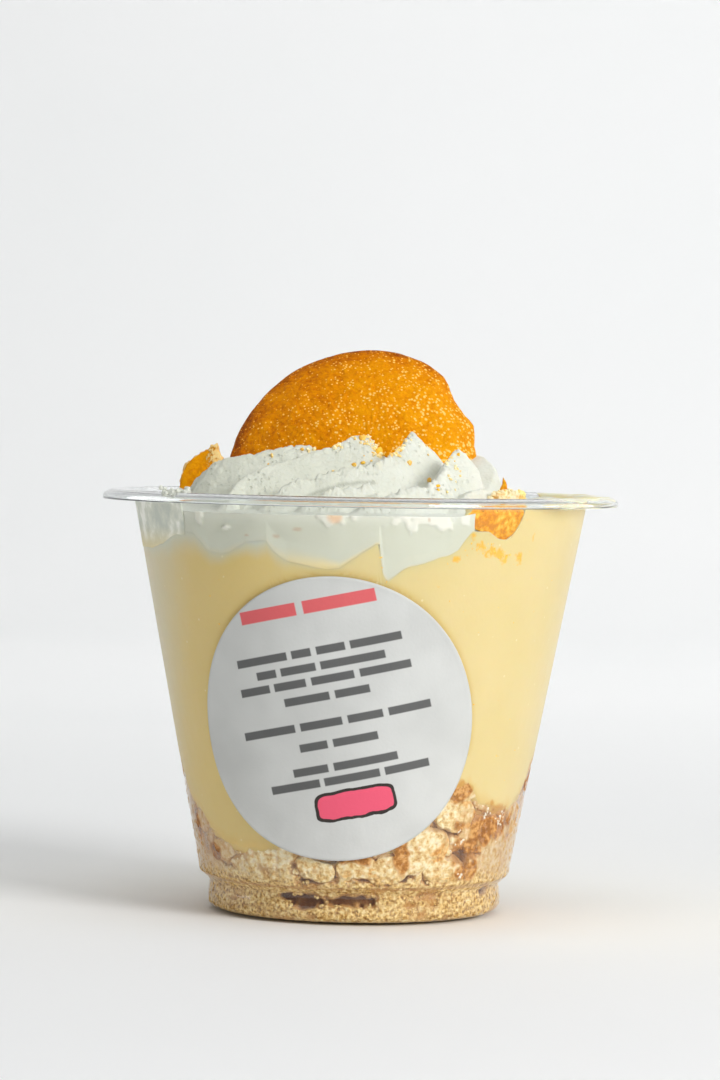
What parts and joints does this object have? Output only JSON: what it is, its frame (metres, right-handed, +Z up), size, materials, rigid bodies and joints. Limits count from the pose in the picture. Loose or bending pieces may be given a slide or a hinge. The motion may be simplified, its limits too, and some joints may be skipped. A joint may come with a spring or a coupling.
{
  "type": "banana pudding in a clear cup",
  "caption": "Clear squat plastic cup of banana pudding over broken wafers, topped with a swirl of whipped cream and a standing vanilla wafer.",
  "frame": {"origin": "centre of the cup's foot ring, on the surface that it stands on", "axes": "+Z up along the cup's axis, -Y out of the labelled front, +X to the right of someone facing the label"},
  "size_m": [0.092, 0.092, 0.1014],
  "materials": {
    "clear_cup": "clear, glossy",
    "label_paper": "matte coated paper",
    "wafer_crumb": "dry broken wafer, porous",
    "pudding": "smooth pudding, moist",
    "cream": "whipped cream, soft",
    "wafer_crust": "baked golden wafer, fine grained"
  },
  "bodies": {
    "root": {"cup": "clear_cup", "label": "label_paper", "wafer_crumbs": "wafer_crumb", "pudding": "pudding", "whipped_cream": "cream", "vanilla_wafer": "wafer_crust", "wafer_piece_left": "wafer_crust", "wafer_piece_right": "wafer_crust"}
  },
  "joints": []
}
